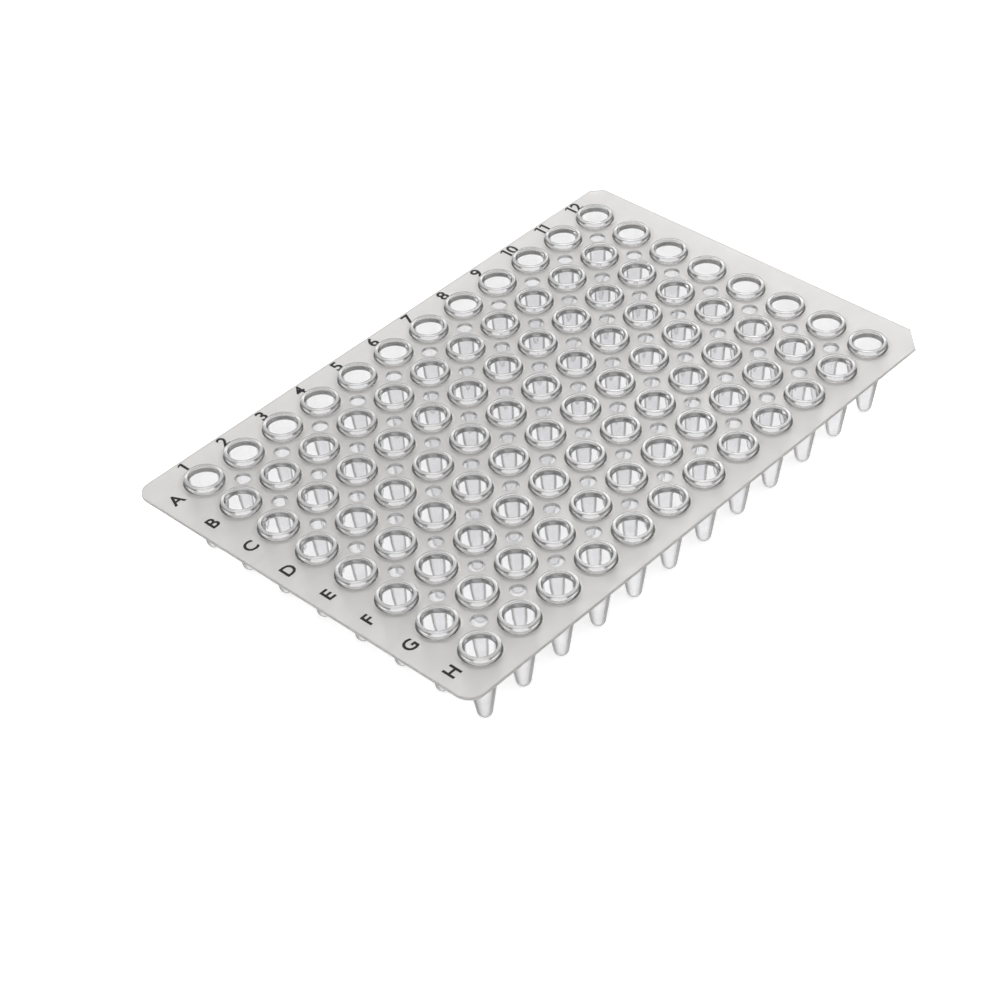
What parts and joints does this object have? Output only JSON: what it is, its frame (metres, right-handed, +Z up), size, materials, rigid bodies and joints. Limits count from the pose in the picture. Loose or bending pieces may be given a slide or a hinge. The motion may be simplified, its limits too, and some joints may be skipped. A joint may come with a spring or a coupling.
{
  "type": "well plate",
  "caption": "Natural polypropylene well plate: thin flat deck with raised rims over free-standing tapered wells, with lettered rows and numbered columns.",
  "frame": {"origin": "bottom centre of the plate's box, in the plane that the well tips stand on", "axes": "+X along the rows, from column 1 to column 12; +Y from row H to row A; +Z up, out of the wells' mouths"},
  "size_m": [0.117, 0.077, 0.0154],
  "materials": {
    "natural_pp": "natural moulded polypropylene, frosted deck and polished wells",
    "label_ink": "printed matt ink"
  },
  "bodies": {
    "root": {"plate": "natural_pp"}
  },
  "joints": []
}
